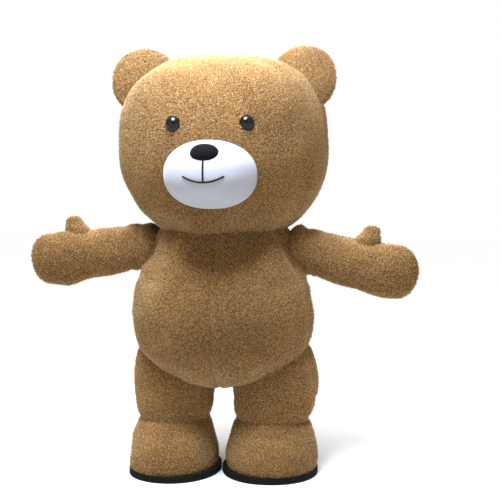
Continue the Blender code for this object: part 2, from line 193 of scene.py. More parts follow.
def makeCurlyPlush():
    look = curlyPlush
    material, tree, shader, place = startMaterial("curly_tan_plush", look["shader"])
    rise = addNode(tree, "ShaderNodeAttribute", {"attribute_name": "rise"})
    tuft = addNode(tree, "ShaderNodeAttribute", {"attribute_name": "shade"})
    # painted shade at the roots of the tufts and painted light at their tips
    stops = [(0.0, look["root"]), (look["middleRise"], look["middle"]), (1.0, look["tip"])]
    colour = rampNode(tree, rise.outputs["Fac"], stops)
    colour = shadeNode(tree, colour, rangeNode(tree, tuft.outputs["Fac"], *look["tuftShade"]))
    patch = noiseNode(tree, place, look["patchScale"], look["patchDetail"])
    colour = shadeNode(tree, colour, rangeNode(tree, patch, *look["patchShade"], *noiseRange))
    curls = noiseNode(tree, place, look["curlScale"], look["curlDetail"], look["curlTwist"])
    colour = shadeNode(tree, colour, rangeNode(tree, curls, *look["curlShade"], *look["curlRange"]))
    strand = noiseNode(tree, place, look["strandScale"])
    colour = shadeNode(tree, colour, rangeNode(tree, strand, *look["strandShade"], *noiseRange))
    height = addNode(tree, "ShaderNodeSeparateXYZ")
    # the plush grows darker towards the floor
    tree.links.new(place.outputs["Object"], height.inputs["Vector"])
    nearFloor = rangeNode(tree, height.outputs["Z"], look["darkestAtFloor"], 1.0,
                     floorLevel, floorLevel + look["darkeningHeight"])
    colour = shadeNode(tree, colour, nearFloor)
    tree.links.new(colour, shader.inputs["Base Color"])
    addBump(tree, shader, strand, look["bump"])
    return material


# Finishes of one fine grain: how fine it is, where it turns from dark to light, and its bump

# The cloth under the pile: its own brown, made darker as painted shade between the tufts
shadedPlushBacking = {
    "dark": (0.14, 0.072, 0.028),
    "light": (0.30, 0.17, 0.070),
    "grainScale": 260.0,
    "grainDetail": 2.0,
    "grainRange": (0.35, 0.65),
    "bump": (0.8, 0.002),
    "shader": {"Roughness": 0.95, "Specular IOR Level": 0.1, "Sheen Weight": 0.15},
}
shortPlush = {
    "dark": (0.36, 0.368, 0.42),
    "light": (0.46, 0.47, 0.53),
    "grainScale": 700.0,
    "grainDetail": 3.0,
    "grainRange": (0.30, 0.62),
    "patchScale": 9.0,
    "patchShade": (0.95, 1.03),
    "bump": (0.35, 0.0010),
    "shader": {"Roughness": 0.85, "Specular IOR Level": 0.2, "Sheen Weight": 0.35,
               "Sheen Roughness": 0.4},
}
blackFelt = {
    "dark": (0.002, 0.002, 0.002),
    "light": (0.010, 0.010, 0.011),
    "grainScale": 900.0,
    "grainDetail": 3.0,
    "grainRange": (0.35, 0.70),
    "bump": (0.5, 0.0010),
    "shader": {"Roughness": 0.90, "Specular IOR Level": 0.10, "Sheen Weight": 0.02},
}
sewnCord = {
    "dark": (0.002, 0.002, 0.002),
    "light": (0.012, 0.012, 0.012),
    "grainScale": 1400.0,
    "grainDetail": 3.0,
    "grainRange": (0.35, 0.70),
    "bump": (0.6, 0.0006),
    "shader": {"Roughness": 0.75, "Specular IOR Level": 0.15, "Sheen Weight": 0.02},
}
soleRubber = {
    "dark": (0.003, 0.003, 0.0035),
    "light": (0.010, 0.010, 0.011),
    "grainScale": 180.0,
    "grainDetail": 3.0,
    "grainRange": (0.35, 0.70),
    "bump": (0.3, 0.0010),
    "shader": {"Roughness": 0.80, "Specular IOR Level": 0.12},
}
eyePlastic = {
    "dark": (0.003, 0.003, 0.003),
    "light": (0.012, 0.008, 0.006),
    "grainScale": 40.0,
    "grainDetail": 3.0,
    "grainRange": (0.35, 0.70),
    "bump": (0.03, 0.0005),
    "shader": {"Roughness": 0.12, "Specular IOR Level": 0.3, "Coat Weight": 0.15,
               "Coat Roughness": 0.05},
}


def makeGrained(name, look):
    material, tree, shader, place = startMaterial(name, look["shader"])
    grain = noiseNode(tree, place, look["grainScale"], look["grainDetail"])
    darkest, lightest = look["grainRange"]
    colour = rampNode(tree, grain, [(darkest, look["dark"]), (lightest, look["light"])])
    if "patchScale" in look:
        patch = noiseNode(tree, place, look["patchScale"], look["grainDetail"])
        colour = shadeNode(tree, colour, rangeNode(tree, patch, *look["patchShade"], *noiseRange))
    tree.links.new(colour, shader.inputs["Base Color"])
    addBump(tree, shader, grain, look["bump"])
    return material


finishes = {
    "plush": makeCurlyPlush(),
    "backing": makeGrained("plush_backing", shadedPlushBacking),
    "white": makeGrained("short_white_plush", shortPlush),
    "felt": makeGrained("black_felt", blackFelt),
    "cord": makeGrained("black_sewn_cord", sewnCord),
    "rubber": makeGrained("black_sole_rubber", soleRubber),
    "eye": makeGrained("glossy_black_plastic", eyePlastic),
}
print("The plush, felt, rubber and plastic are mixed")


# Shapes as rows of rings, in numpy: rows x columns x 3

def evenCurve(points, count):
    # the same line through count points, evenly spaced along it
    lengths = np.linalg.norm(np.diff(points, axis=0), axis=1)
    along = np.concatenate(([0], np.cumsum(lengths)))
    wanted = np.linspace(0, along[-1], count)
    return np.stack([np.interp(wanted, along, part) for part in points.T], axis=1)


def roundOutline(power, count):
    # a superellipse of half size 1
    turns = np.linspace(0, 2 * pi, fineSteps * count + 1)
    parts = np.stack([np.cos(turns), np.sin(turns)], axis=1)
    parts[np.abs(parts) < suit["merge"]] = 0
    return evenCurve(np.sign(parts) * np.abs(parts) ** (2 / power), count + 1)[:-1]


def quarterProfile(power, reach, fall, count):
    # how a round end closes: shares of its size, and how far along it they are
    turns = np.linspace(0, pi / 2, fineSteps * count + 1)
    size = np.clip(np.cos(turns), 0, 1) ** (2 / power)
    size[-1] = 0
    curve = evenCurve(np.stack([reach * size, fall * np.sin(turns) ** (2 / power)], axis=1), count + 1)
    return [(size / reach, far) for size, far in curve]


def smoothRows(rows, steps):
    # the rows with steps - 1 more between each two, on one smooth curve through them all
    kind = type(rows[0])
    found = []
    for n in range(len(rows) - 1):
        before = rows[max(n - 1, 0)]
        after = rows[min(n + 2, len(rows) - 1)]
        for k in range(steps):
            t = k / steps
            values = []
            for p0, p1, p2, p3 in zip(before, rows[n], rows[n + 1], after):
                bend = (p2 - p0) * t + (2 * p0 - 5 * p1 + 4 * p2 - p3) * t**2
                values.append(p1 + 0.5 * (bend + (3 * p1 - p0 - 3 * p2 + p3) * t**3))
            found.append(kind(*values))
    return found + [rows[-1]]


def levelRing(outline, height, centreX, centreY, halfWidth, halfDepth, turn=0.0):
    across = halfWidth * outline[:, 0]
    along = halfDepth * outline[:, 1]
    x = centreX + across * cos(turn) - along * sin(turn)
    y = centreY + across * sin(turn) + along * cos(turn)
    return np.stack([x, y, np.full(len(outline), height)], axis=1)


def roundBlock(centre, half, rise, fall, topPower, bottomPower, planPower, columns, rings):
    # level rings of a rounded block, from its top pole to its bottom pole
    outline = roundOutline(planPower, columns)
    top = [(size, far) for size, far in reversed(quarterProfile(topPower, half[0], rise, rings))]
    bottom = [(size, -far) for size, far in quarterProfile(bottomPower, half[0], fall, rings)[1:]]
    return np.array([levelRing(outline, centre[2] + level, centre[0], centre[1],
                               half[0] * size, half[1] * size) for size, level in top + bottom])


def isPole(ring):
    return np.linalg.norm(ring[0] - ring[len(ring) // 2]) < suit["merge"]


def outwardNormals(rings):
    around = np.roll(rings, -1, axis=1) - np.roll(rings, 1, axis=1)
    along = np.concatenate([rings[:1], rings[:-1]]) - np.concatenate([rings[1:], rings[-1:]])
    normals = np.cross(around, along)
    middles = rings.mean(axis=1)
    for end in (0, -1):
        if isPole(rings[end]):
            normals[end] = 0
            continue
        # an open end stays in its own plane
        axis = np.cross(rings[end][0] - middles[end], rings[end][len(rings[end]) // 4] - middles[end])
        axis /= np.linalg.norm(axis)
        normals[end] -= np.outer(normals[end] @ axis, axis)
    if (normals * (rings - middles[:, None])).sum() < 0:
        normals = -normals
    for end, inward in ((0, 1), (-1, -2)):
        if isPole(rings[end]):
            normals[end] = middles[end] - middles[inward]
    return normals / np.linalg.norm(normals, axis=2, keepdims=True)


def movedOut(rings, distance):
    return rings + outwardNormals(rings) * distance


def drawnIn(rings, creases, side=1):
    # soft troughs, or ridges where the depth is negative; side -1 mirrors them
    normals = outwardNormals(rings)
    depth = np.zeros(rings.shape[:2])
    for mark in creases:
        across, up, direction = facings[mark.facing]
        sign = side if across == 0 else 1
        start = np.array([sign * mark.startAcross, mark.startUp])
        line = np.array([sign * mark.endAcross, mark.endUp]) - start
        place = rings[..., (across, up)] - start
        share = np.clip(place @ line / (line @ line), 0, 1)
        away = np.linalg.norm(place - share[..., None] * line, axis=-1)
        faces = np.clip(creaseFacing * normals @ np.array(direction), 0, 1)
        taper = creaseEnds + (1 - creaseEnds) * np.sin(pi * share)
        depth += mark.depth * np.exp(-(away / mark.width) ** 2) * faces * taper
    return rings - normals * depth[..., None]


def uneven(rings, lowest=None):
    # the soft unevenness of stuffed cloth: a few long waves, fading out just above the lowest level
    look = softness
    chance = np.random.default_rng(look["seed"])
    depth = np.zeros(rings.shape[:2])
    for length in look["lengths"]:
        direction = chance.normal(size=3)
        direction /= np.linalg.norm(direction)
        depth += np.sin(rings @ direction * 2 * pi / length + chance.uniform(0, 2 * pi))
    depth *= look["depth"] / len(look["lengths"])
    if lowest is not None:
        depth *= np.clip((rings[..., 2] - lowest) / look["fade"], 0, 1)
    return rings - outwardNormals(rings) * depth[..., None]


def tucked(rings, columns):
    # seams drawn in along some columns
    depth = np.zeros(rings.shape[:2])
    for column in columns:
        away = np.linalg.norm(rings - rings[:, column][:, None], axis=-1)
        depth = np.maximum(depth, suit["seamTuck"] * np.exp(-(away / suit["seamWidth"]) ** 2))
    return rings - outwardNormals(rings) * depth[..., None]


def clothLayers(shape, wall, seams=()):
    # the outside and the inside of the cloth under the pile
    cloth = tucked(movedOut(shape, -suit["pileHeight"]), seams)
    return cloth, movedOut(cloth, suit["pileHeight"] - wall)


# Pieces from rings

def makePiece(name, points, faces, kinds, materials):
    # one closed mesh; kinds says which of the materials each face has
    shape = bmesh.new()
    corners = [shape.verts.new((x, y, z + floorLevel)) for x, y, z in points]
    for face, kind in zip(faces, kinds):
        made = shape.faces.new([corners[k] for k in face])
        made.material_index = kind
        made.smooth = True
    bmesh.ops.remove_doubles(shape, verts=shape.verts, dist=suit["merge"])
    bmesh.ops.dissolve_degenerate(shape, edges=shape.edges, dist=suit["merge"])
    bmesh.ops.recalc_face_normals(shape, faces=shape.faces)
    mesh = bpy.data.meshes.new(name)
    shape.to_mesh(mesh)
    shape.free()
    for material in materials:
        mesh.materials.append(finishes[material])
    piece = bpy.data.objects.new(name, mesh)
    bpy.context.collection.objects.link(piece)
    return piece


def fillBlock(name, rings, materials, kind=0):
    # a filled body, with a flat cap where an end isn't a pole
    rows, columns = rings.shape[:2]
    faces = []
    for i in range(rows - 1):
        for j in range(columns):
            k = (j + 1) % columns
            faces.append((i * columns + j, i * columns + k, (i + 1) * columns + k, (i + 1) * columns + j))
    if not isPole(rings[0]):
        faces.append(tuple(range(columns)))
    if not isPole(rings[-1]):
        first = (rows - 1) * columns
        faces.append(tuple(range(first + columns - 1, first - 1, -1)))
    return makePiece(name, rings.reshape(-1, 3), faces, [kind] * len(faces), materials)


def makeCutter(name, rings):
    # what it cuts gets the backing, the second material, on the cut
    return fillBlock(name, rings, ("backing", "backing"), 1)


def sewPiece(name, outer, inner, first=0, last=None, bareAbove=None):
    # cloth between two shapes, all the way round, or from one column to another as a panel
    rows, count = outer.shape[:2]
    whole = last is None
    columns = [k % count for k in range(first, count if whole else last + 1)]
    width = len(columns)
    points = []
    for shape in (outer, inner):
        for i in range(rows):
            row = shape[i][columns].copy()
            if whole:
                points.append(row)
                continue
            if isPole(shape[i]):
                beside = shape[i + 1] if i == 0 else shape[i - 1]
                towards = beside[columns[width // 2]] - beside.mean(axis=0)
                row += towards / np.linalg.norm(towards) * suit["seamGap"]
            else:
                for end, inward in ((0, 1), (-1, -2)):
                    step = row[inward] - row[end]
                    row[end] += step / np.linalg.norm(step) * suit["seamGap"] / 2
            points.append(row)
    points = np.concatenate(points)
    deep = rows * width
    faces = []
    kinds = []
    for i in range(rows - 1):
        for j in range(width if whole else width - 1):
            k = (j + 1) % width
            face = (i * width + j, i * width + k, (i + 1) * width + k, (i + 1) * width + j)
            bare = bareAbove is not None and points[face[0]][2] > bareAbove
            faces.append(face)
            kinds.append(1 if bare else 0)
            faces.append(tuple(deep + n for n in face))
            kinds.append(1)
    for j in (() if whole else (0, width - 1)):
        for i in range(rows - 1):
            a, b = i * width + j, (i + 1) * width + j
            faces.append((a, b, deep + b, deep + a))
            kinds.append(1)
    for i in (0, rows - 1):
        if isPole(outer[i]):
            continue
        for j in range(width if whole else width - 1):
            k = (j + 1) % width
            a, b = i * width + j, i * width + k
            faces.append((a, b, deep + b, deep + a))
            kinds.append(1)
    return makePiece(name, points, faces, kinds, ("plush", "backing"))


def applyAll(piece):
    # the piece's modifiers made real in its mesh
    bpy.context.view_layer.update()
    shown = piece.evaluated_get(bpy.context.evaluated_depsgraph_get())
    mesh = bpy.data.meshes.new_from_object(shown)
    mesh.name = piece.name
    piece.modifiers.clear()
    piece.data = mesh


def pointsOf(mesh):
    places = np.empty(3 * len(mesh.vertices))
    mesh.vertices.foreach_get("co", places)
    return places.reshape(-1, 3)


stuffing = {
    "voxel": 0.005,
    "pressure": 4.0,
    "frames": 20,
    "reach": 0.010,  # how far the stuffing may press a point of the cover
    "seamHold": 0.006,  # how near the seam the cover is held
}


def stuffed(pad, seam):
    # a cloth simulation: the stuffing presses the cover out, and the seam round it holds
    remesh = pad.modifiers.new("even cover", "REMESH")
    remesh.mode = "VOXEL"
    remesh.voxel_size = stuffing["voxel"]
    remesh.use_smooth_shade = True
    applyAll(pad)
    before = pointsOf(pad.data)
    away = np.linalg.norm(before[:, None] - seam[None], axis=-1).min(axis=1)
    held = pad.vertex_groups.new(name="seam")
    held.add([int(k) for k in np.flatnonzero(away < stuffing["seamHold"])], 1.0, "REPLACE")
    cover = pad.modifiers.new("stuffing", "CLOTH")
    cover.settings.vertex_group_mass = held.name
    cover.settings.use_pressure = True
    cover.settings.uniform_pressure_force = stuffing["pressure"]
    cover.settings.effector_weights.gravity = 0
    for moment in range(1, stuffing["frames"] + 1):
        bpy.context.scene.frame_set(moment)
    shown = pad.evaluated_get(bpy.context.evaluated_depsgraph_get())
    moved = pointsOf(shown.data) - before
    far = np.linalg.norm(moved, axis=1, keepdims=True)
    print(pad.name, "pressed out by up to", round(float(far.max()), 4), "m", flush=True)
    moved *= np.minimum(1, stuffing["reach"] / np.maximum(far, suit["merge"]))
    pad.modifiers.clear()
    pad.vertex_groups.clear()
    pad.data.vertices.foreach_set("co", (before + moved).ravel())
    pad.data.update()
    bpy.context.scene.frame_set(1)


def cutAway(piece, *cutters):
    for cutter in cutters:
        step = piece.modifiers.new(f"cut by {cutter.name}", "BOOLEAN")
        step.operation = "DIFFERENCE"
        step.solver = "EXACT"
        step.object = cutter
    applyAll(piece)
    piece.data.set_sharp_from_angle(angle=suit["sharpEdge"])
    return piece


# The pile: small curled tufts, a few kinds of them scattered over the cloth

pile = {
    "spacing": 0.00445,
    "densest": 120000.0,  # tufts to a square metre, before the spacing thins them
    "kinds": 8,
    "seed": 11,
    "sunk": 0.0012,  # how far a tuft's foot is under the cloth
    "height": 0.0100,
    "sides": 5,
    "radius": 0.0042,
    "radiusSpread": (0.8, 1.2),
    "curl": 0.0042,  # how far a tip leans off its foot
    "curlSpread": (0.5, 1.3),
    "swirlScale": 80.0,  # neighbouring tufts lean together, in swirls this many to a metre
    "swirlDetail": 1.0,
    "swirlLean": radians(170),
    "ownLean": radians(14),
    "swirlSize": (0.80, 1.16),
    "smallest": 0.75,
    "largest": 1.20,
}


def makeTufts():
    look = pile
    chance = np.random.default_rng(look["seed"])
    tufts = bpy.data.collections.new("tufts")
    count = look["sides"]
    for n in range(look["kinds"]):
        heading = chance.uniform(0, 2 * pi)
        curl = look["curl"] * chance.uniform(*look["curlSpread"])
        points = []
        for k in range(count):
            angle = 2 * pi * k / count
            reach = look["radius"] * chance.uniform(*look["radiusSpread"])
            points.append((reach * cos(angle), reach * sin(angle), -look["sunk"]))
        points.append((curl * cos(heading), curl * sin(heading), look["height"] - look["sunk"]))
        rises = [0] * count + [1]
        faces = [(k, (k + 1) % count, count) for k in range(count)]
        mesh = bpy.data.meshes.new(f"tuft_{n}")
        mesh.from_pydata(points, [], faces)
        mesh.shade_smooth()
        rise = mesh.attributes.new("rise", "FLOAT", "POINT")
        rise.data.foreach_set("value", rises)
        mesh.materials.append(finishes["plush"])
        tufts.objects.link(bpy.data.objects.new(f"tuft_{n}", mesh))
    return tufts


# Each kind of random value has its own sockets: the lowest, the highest and the result
randomSockets = {"FLOAT_VECTOR": (0, 1, 0), "FLOAT": (2, 3, 1), "INT": (4, 5, 2)}


def randomNode(tree, kind, low, high, seed):
    # a random value of its own for each tuft
    lowest, highest, result = randomSockets[kind]
    node = addNode(tree, "FunctionNodeRandomValue", {"data_type": kind}, {"Seed": seed})
    node.inputs[lowest].default_value = low
    node.inputs[highest].default_value = high
    return node.outputs[result]


def rotateNode(tree, rotation, euler):
    # a rotation turned further about its own axes
    turn = addNode(tree, "FunctionNodeEulerToRotation")
    node = addNode(tree, "FunctionNodeRotateRotation", {"rotation_space": "LOCAL"})
    tree.links.new(euler, turn.inputs["Euler"])
    tree.links.new(rotation, node.inputs["Rotation"])
    tree.links.new(turn.outputs["Rotation"], node.inputs["Rotate By"])
    return node.outputs["Rotation"]


def makePileNodes(tufts):
    look = pile
    tree = bpy.data.node_groups.new("plush pile", "GeometryNodeTree")
    tree.interface.new_socket("Cloth", in_out="INPUT", socket_type="NodeSocketGeometry")
    tree.interface.new_socket("Seed", in_out="INPUT", socket_type="NodeSocketInt")
    tree.interface.new_socket("Pile", in_out="OUTPUT", socket_type="NodeSocketGeometry")
    start = addNode(tree, "NodeGroupInput")
    plushOnly = addNode(tree, "GeometryNodeMaterialSelection", None, {"Material": finishes["plush"]})
    scatter = addNode(tree, "GeometryNodeDistributePointsOnFaces", {"distribute_method": "POISSON"},
                      {"Distance Min": look["spacing"], "Density Max": look["densest"]})
    kinds = addNode(tree, "GeometryNodeCollectionInfo", None,
                    {"Collection": tufts, "Separate Children": True, "Reset Children": True})
    where = addNode(tree, "GeometryNodeInputPosition")
    swirl = addNode(tree, "ShaderNodeTexNoise", None,
                    {"Scale": look["swirlScale"], "Detail": look["swirlDetail"]})
    low = -look["swirlLean"] / 2 - look["ownLean"]
    high = -look["swirlLean"] / 2 + look["ownLean"]
    lean = addNode(tree, "ShaderNodeVectorMath", {"operation": "MULTIPLY_ADD"})
    lean.inputs[1].default_value = (look["swirlLean"], look["swirlLean"], 0)
    leaning = rotateNode(tree, scatter.outputs["Rotation"], lean.outputs["Vector"])
    spin = randomNode(tree, "FLOAT_VECTOR", (0, 0, -pi), (0, 0, pi), 4)
    size = addNode(tree, "ShaderNodeMath", {"operation": "MULTIPLY"})
    sow = addNode(tree, "GeometryNodeInstanceOnPoints", None, {"Pick Instance": True})
    store = addNode(tree, "GeometryNodeStoreNamedAttribute",
                    {"data_type": "FLOAT", "domain": "INSTANCE"}, {"Name": "shade"})
    real = addNode(tree, "GeometryNodeRealizeInstances")
    end = addNode(tree, "NodeGroupOutput")
    joins = [
        (start.outputs["Cloth"], scatter.inputs["Mesh"]),
        (start.outputs["Seed"], scatter.inputs["Seed"]),
        (plushOnly.outputs["Selection"], scatter.inputs["Selection"]),
        (where.outputs["Position"], swirl.inputs["Vector"]),
        (swirl.outputs["Color"], lean.inputs[0]),
        (randomNode(tree, "FLOAT_VECTOR", (low, low, 0), (high, high, 0), 0), lean.inputs[2]),
        (randomNode(tree, "FLOAT", look["smallest"], look["largest"], 1), size.inputs[0]),
        (rangeNode(tree, swirl.outputs["Fac"], *look["swirlSize"], *noiseRange), size.inputs[1]),
        (scatter.outputs["Points"], sow.inputs["Points"]),
        (kinds.outputs["Instances"], sow.inputs["Instance"]),
        (randomNode(tree, "INT", 0, look["kinds"] - 1, 2), sow.inputs["Instance Index"]),
        (rotateNode(tree, leaning, spin), sow.inputs["Rotation"]),
        (size.outputs["Value"], sow.inputs["Scale"]),
        (sow.outputs["Instances"], store.inputs["Geometry"]),
        (randomNode(tree, "FLOAT", 0.0, 1.0, 3), store.inputs["Value"]),
        (store.outputs["Geometry"], real.inputs["Geometry"]),
        (real.outputs["Geometry"], end.inputs["Pile"]),
    ]
    for source, target in joins:
        tree.links.new(source, target)
    return tree


tufts = makeTufts()
pileNodes = makePileNodes(tufts)
pileCount = {"pieces": 0, "triangles": 0}


def growPile(cloth):
    # the fur of one piece of cloth, as a mesh of its own on that cloth
    fur = bpy.data.objects.new(f"{cloth.name}_pile", cloth.data)
    bpy.context.collection.objects.link(fur)
    step = fur.modifiers.new("pile", "NODES")
    step.node_group = pileNodes
    seedSocket = pileNodes.interface.items_tree["Seed"].identifier
    step[seedSocket] = pile["seed"] + pileCount["pieces"]
    applyAll(fur)
    fur.parent = cloth
    pileCount["pieces"] += 1
    pileCount["triangles"] += len(fur.data.polygons)
    return fur


def finishCloth(piece):
    # the sewn cloth, with its pile, in place of its plain solid
    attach(piece, "root")
    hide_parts(piece.name.removesuffix("_cloth"))
    fur = growPile(piece)


def finishBlock(piece, node):
    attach(piece, "root")
    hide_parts(node)


# The head

head = {
    "centre": (0, 0.01, 1.50),
    "half": (0.488, 0.430),
    "rise": 0.426,
    "fall": 0.462,
    "topPower": 2.7,
    "bottomPower": 2.06,
    "planPower": 2.3,
    "columns": 144,
    "rings": 36,
    "flat": (1.46, 1.36),
    "creases": [
        crease("front", -0.300, 1.190, -0.120, 1.105, 0.030, 0.007),
        crease("front", 0.120, 1.100, 0.330, 1.215, 0.034, 0.007),
        crease("back", -0.260, 1.230, 0.030, 1.170, 0.036, 0.010),
        crease("back", 0.080, 1.260, 0.300, 1.320, 0.040, 0.009),
    ],
}


def shapeHead():
    rings = roundBlock(head["centre"], head["half"], head["rise"], head["fall"], head["topPower"],
                       head["bottomPower"], head["planPower"], head["columns"], head["rings"])
    return drawnIn(uneven(rings), head["creases"])


# The body

bodyRow = namedtuple("bodyRow", "height halfWidth halfDepth centreY")
fold = namedtuple("fold", "x height halfWidth halfHeight depth")
body = {
    "power": 2.2,
    "columns": 128,
    "rowSteps": 4,
    "rows": [
        bodyRow(1.220, 0.205, 0.168, 0.020),
        bodyRow(1.165, 0.268, 0.208, 0.015),
        bodyRow(1.095, 0.326, 0.248, 0.008),
        bodyRow(1.000, 0.362, 0.284, 0.000),
        bodyRow(0.920, 0.390, 0.320, -0.008),
        bodyRow(0.830, 0.416, 0.345, -0.015),
        bodyRow(0.742, 0.427, 0.354, -0.020),
    ],
    "bellyFall": 0.354,
    "bellyPower": 2.35,
    "bellyRings": 32,
    "bareAbove": 1.17,  # inside the head no pile shows
    "flat": (0.66, 0.98),
    "foldFade": 0.1,
    "folds": [
        fold(-0.045, 1.045, 0.085, 0.090, 0.024),
        fold(-0.215, 1.010, 0.050, 0.110, -0.014),
        fold(-0.318, 0.990, 0.042, 0.120, 0.016),
        fold(0.165, 1.060, 0.060, 0.070, 0.012),
        fold(0.312, 0.975, 0.044, 0.120, 0.016),
    ],
    "creases": [
        crease("front", -0.218, 1.062, -0.160, 0.940, 0.018, 0.015),
        crease("front", 0.248, 1.070, 0.196, 0.985, 0.022, 0.010),
        crease("front", 0.016, 1.110, 0.004, 1.010, 0.020, 0.007),
        crease("front", -0.352, 0.925, -0.262, 0.880, 0.020, 0.012),
        crease("front", 0.372, 0.900, 0.270, 0.868, 0.022, 0.012),
        crease("front", -0.285, 0.520, -0.130, 0.452, 0.026, 0.009),
        crease("front", 0.120, 0.450, 0.300, 0.530, 0.028, 0.009),
        crease("back", -0.235, 1.060, -0.120, 0.930, 0.022, 0.015),
        crease("back", 0.225, 1.070, 0.140, 0.955, 0.024, 0.012),
        crease("back", -0.320, 0.830, -0.130, 0.795, 0.024, 0.014),
        crease("back", 0.100, 0.790, 0.300, 0.842, 0.026, 0.015),
        crease("back", -0.270, 0.560, -0.060, 0.495, 0.030, 0.014),
        crease("back", 0.070, 0.500, 0.265, 0.570, 0.028, 0.012),
        crease("front", -0.300, 0.700, -0.210, 0.640, 0.030, 0.008),
        crease("front", 0.230, 0.660, 0.330, 0.720, 0.030, 0.008),
        crease("front", -0.120, 0.860, 0.090, 0.835, 0.034, 0.006),
        crease("back", -0.200, 0.700, 0.060, 0.660, 0.034, 0.009),
        crease("back", 0.120, 0.640, 0.280, 0.690, 0.030, 0.009),
        crease("left", -0.060, 0.820, 0.120, 0.780, 0.030, 0.009),
        crease("right", -0.080, 0.790, 0.100, 0.830, 0.030, 0.009),
        crease("left", -0.120, 1.150, -0.128, 0.920, 0.024, 0.014),
        crease("left", 0.130, 1.150, 0.134, 0.920, 0.024, 0.014),
        crease("left", -0.100, 0.886, 0.110, 0.886, 0.022, 0.010),
        crease("right", -0.120, 1.160, -0.128, 0.930, 0.024, 0.014),
        crease("right", 0.130, 1.160, 0.134, 0.930, 0.024, 0.014),
        crease("right", -0.100, 0.900, 0.110, 0.900, 0.022, 0.010),
    ],
}


def shapeBody():
    outline = roundOutline(body["power"], body["columns"])
    rings = [levelRing(outline, row.height, 0, row.centreY, row.halfWidth, row.halfDepth)
             for row in smoothRows(body["rows"], body["rowSteps"])]
    widest = body["rows"][-1]
    closing = quarterProfile(body["bellyPower"], widest.halfWidth, body["bellyFall"], body["bellyRings"])
    for size, far in closing[1:]:
        rings.append(levelRing(outline, widest.height - far, 0, widest.centreY,
                               widest.halfWidth * size, widest.halfDepth * size))
    rings = np.array(rings)
    front = np.clip(-rings[..., 1] / body["foldFade"], 0, 1)
    depth = np.zeros(front.shape)
    for row in body["folds"]:
        spread = ((rings[..., 0] - row.x) / row.halfWidth) ** 2
        spread += ((rings[..., 2] - row.height) / row.halfHeight) ** 2
        depth += row.depth * np.exp(-spread)
    rings[..., 1] += front * depth
    return drawnIn(uneven(rings), body["creases"])


# The sleeves and mittens

sleeveRow = namedtuple("sleeveRow", "out rightHeight leftHeight y halfHeight halfDepth")
sleeve = {
    "power": 2.1,
    "columns": 44,
    "rowSteps": 5,
    "rows": [
        sleeveRow(0.200, 1.005, 1.000, 0.010, 0.080, 0.100),
        sleeveRow(0.280, 1.016, 1.008, 0.010, 0.088, 0.110),
        sleeveRow(0.350, 1.034, 1.026, 0.010, 0.120, 0.122),
        sleeveRow(0.440, 1.032, 1.008, 0.004, 0.118, 0.120),
        sleeveRow(0.540, 1.018, 0.984, -0.012, 0.118, 0.117),
        sleeveRow(0.640, 1.001, 0.959, -0.038, 0.122, 0.115),
        sleeveRow(0.740, 0.985, 0.938, -0.066, 0.131, 0.110),
        sleeveRow(0.806, 0.983, 0.936, -0.083, 0.124, 0.100),
    ],
    "tip": 0.094,
    "tipForward": 0.28,
    "tipRise": 0.10,
    "tipRings": 8,
    "flat": (0.40, 0.62),
    "creases": [
        crease("front", 0.396, 1.180, 0.400, 0.870, 0.016, 0.010),
        crease("back", 0.396, 1.180, 0.400, 0.870, 0.016, 0.010),
        crease("top", 0.396, -0.120, 0.396, 0.140, 0.016, 0.010),
        crease("under", 0.400, -0.120, 0.400, 0.140, 0.016, 0.010),
        crease("front", 0.425, 1.110, 0.450, 0.985, 0.017, 0.014),
        crease("front", 0.520, 1.085, 0.505, 0.985, 0.016, 0.007),
        crease("front", 0.610, 0.930, 0.665, 0.985, 0.018, 0.009),
        crease("back", 0.430, 1.100, 0.460, 0.960, 0.018, 0.014),
        crease("back", 0.560, 1.060, 0.600, 0.930, 0.020, 0.010),
        crease("under", 0.430, -0.070, 0.455, 0.080, 0.018, 0.012),
        crease("top", 0.470, -0.060, 0.490, 0.050, 0.018, 0.009),
    ],
}


def sleeveHeight(row, side):
    return row.leftHeight if side > 0 else row.rightHeight


def shapeSleeve(side):
    outline = roundOutline(sleeve["power"], sleeve["columns"])
    sections = [(row.out, row.y, sleeveHeight(row, side), row.halfHeight, row.halfDepth)
                for row in smoothRows(sleeve["rows"], sleeve["rowSteps"])]
    out, y, height, halfHeight, halfDepth = sections[-1]
    for size, far in quarterProfile(roundPower, halfHeight, sleeve["tip"], sleeve["tipRings"])[1:]:
        sections.append((out + far, y - far * sleeve["tipForward"], height + far * sleeve["tipRise"],
                         halfHeight * size, halfDepth * size))
    rings = [np.stack([np.full(len(outline), side * out), y + halfDepth * outline[:, 1],
                       height + halfHeight * outline[:, 0]], axis=1)
             for out, y, height, halfHeight, halfDepth in sections]
    return drawnIn(uneven(np.array(rings)), sleeve["creases"], side)


# The thumbs, on top of the mittens

thumbRow = namedtuple("thumbRow", "rise radius shift")
thumb = {
    "columns": 28,
    "rowSteps": 4,
    "rows": [
        thumbRow(-0.060, 0.068, -0.004),
        thumbRow(0.000, 0.064, 0.000),
        thumbRow(0.028, 0.050, 0.010),
        thumbRow(0.046, 0.041, 0.018),
    ],
    "out": {"left": 0.672, "right": 0.692},
    "tip": 0.024,
    "tipRings": 5,
    "depthShare": 0.92,
    "searchSteps": 8,
    "flat": (0.36, 0.12),
}


def shapeThumb(word, side):
    outline = roundOutline(roundPower, thumb["columns"])
    out = thumb["out"][word]
    under = min(smoothRows(sleeve["rows"], thumb["searchSteps"]), key=lambda row: abs(row.out - out))
    base = under.halfHeight + sleeveHeight(under, side)
    sections = [tuple(row) for row in smoothRows(thumb["rows"], thumb["rowSteps"])]
    rise, radius, shift = sections[-1]
    for size, far in quarterProfile(roundPower, radius, thumb["tip"], thumb["tipRings"])[1:]:
        sections.append((rise + far, radius * size, shift))
    return np.array([levelRing(outline, base + rise, side * (out + shift), under.y, radius,
                               radius * thumb["depthShare"]) for rise, radius, shift in sections])


# The legs

